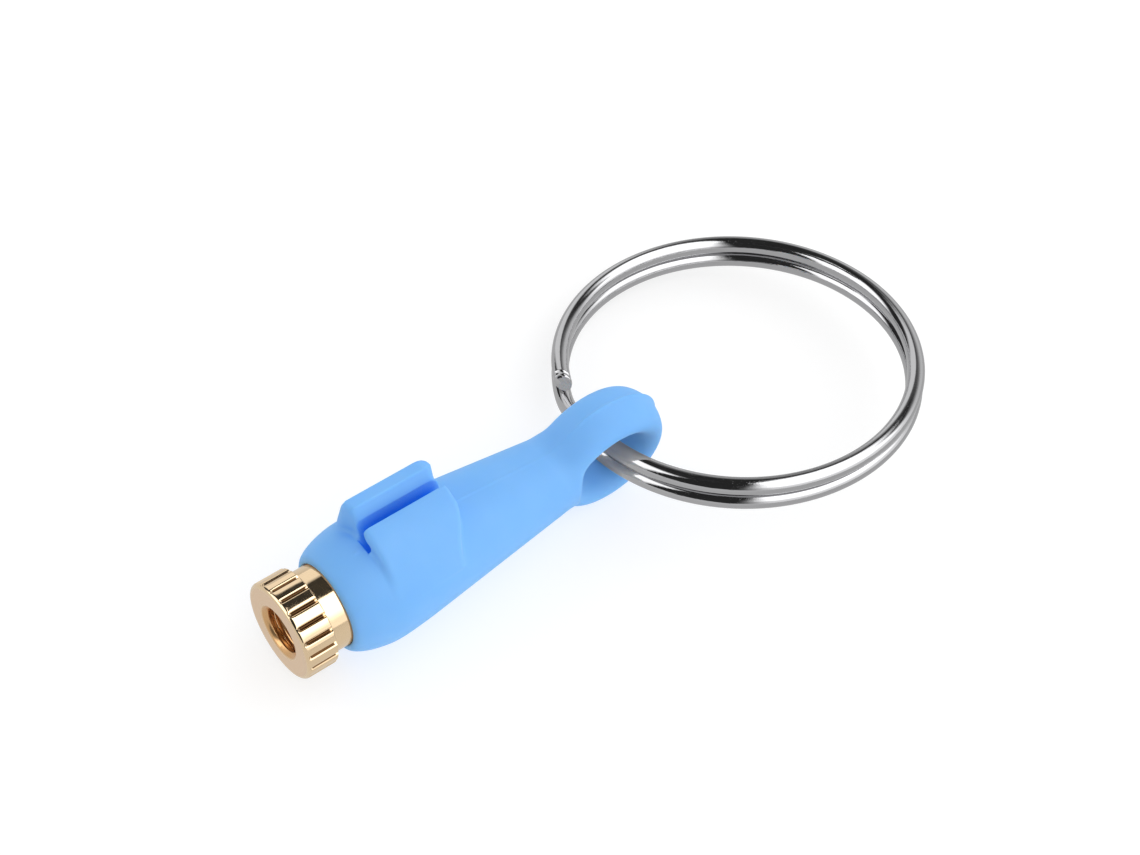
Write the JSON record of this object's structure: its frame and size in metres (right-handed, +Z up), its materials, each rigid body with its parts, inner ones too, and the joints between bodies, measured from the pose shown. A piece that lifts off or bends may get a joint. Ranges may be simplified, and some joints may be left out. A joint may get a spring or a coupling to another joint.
{
  "type": "radiator bleed key",
  "caption": "Key-ring tool with a soft rubber handle and side clip, a knurled brass end with a threaded hole, and a split ring.",
  "frame": {"origin": "on the floor, under the middle of the whole object's box", "axes": "+X along the handle from the brass end to the split ring, +Z up through the clip, +Y along the axis of the hole in the handle's loop, towards the tall jaw's side"},
  "size_m": [0.0692, 0.0348, 0.0142],
  "materials": {
    "blue_rubber": "soft matt sky-blue silicone rubber, slightly translucent",
    "polished_brass": "polished turned brass",
    "black_rubber": "matt black rubber",
    "polished_steel": "bright nickel-plated spring wire"
  },
  "bodies": {
    "handle": {"handle": "blue_rubber"},
    "seal": {"seal_washer": "black_rubber"},
    "key_end": {"brass_key_end": "polished_brass"},
    "ring": {"split_ring": "polished_steel"}
  },
  "joints": [
    {"name": "key_end_pull", "type": "slide", "parent": "handle", "child": "seal", "axis": [-1, 0, 0], "range_m": [0, 0.012]},
    {"name": "key_end_turn", "type": "hinge", "parent": "seal", "child": "key_end", "pos_m": [-0.03456, 0, 0.0059], "axis": [-1, 0, 0], "continuous": true},
    {"name": "ring_swing", "type": "hinge", "parent": "handle", "child": "ring", "pos_m": [0.00039, 0, 0.00515], "axis": [0, -1, 0], "range_deg": [-165, 165]}
  ]
}
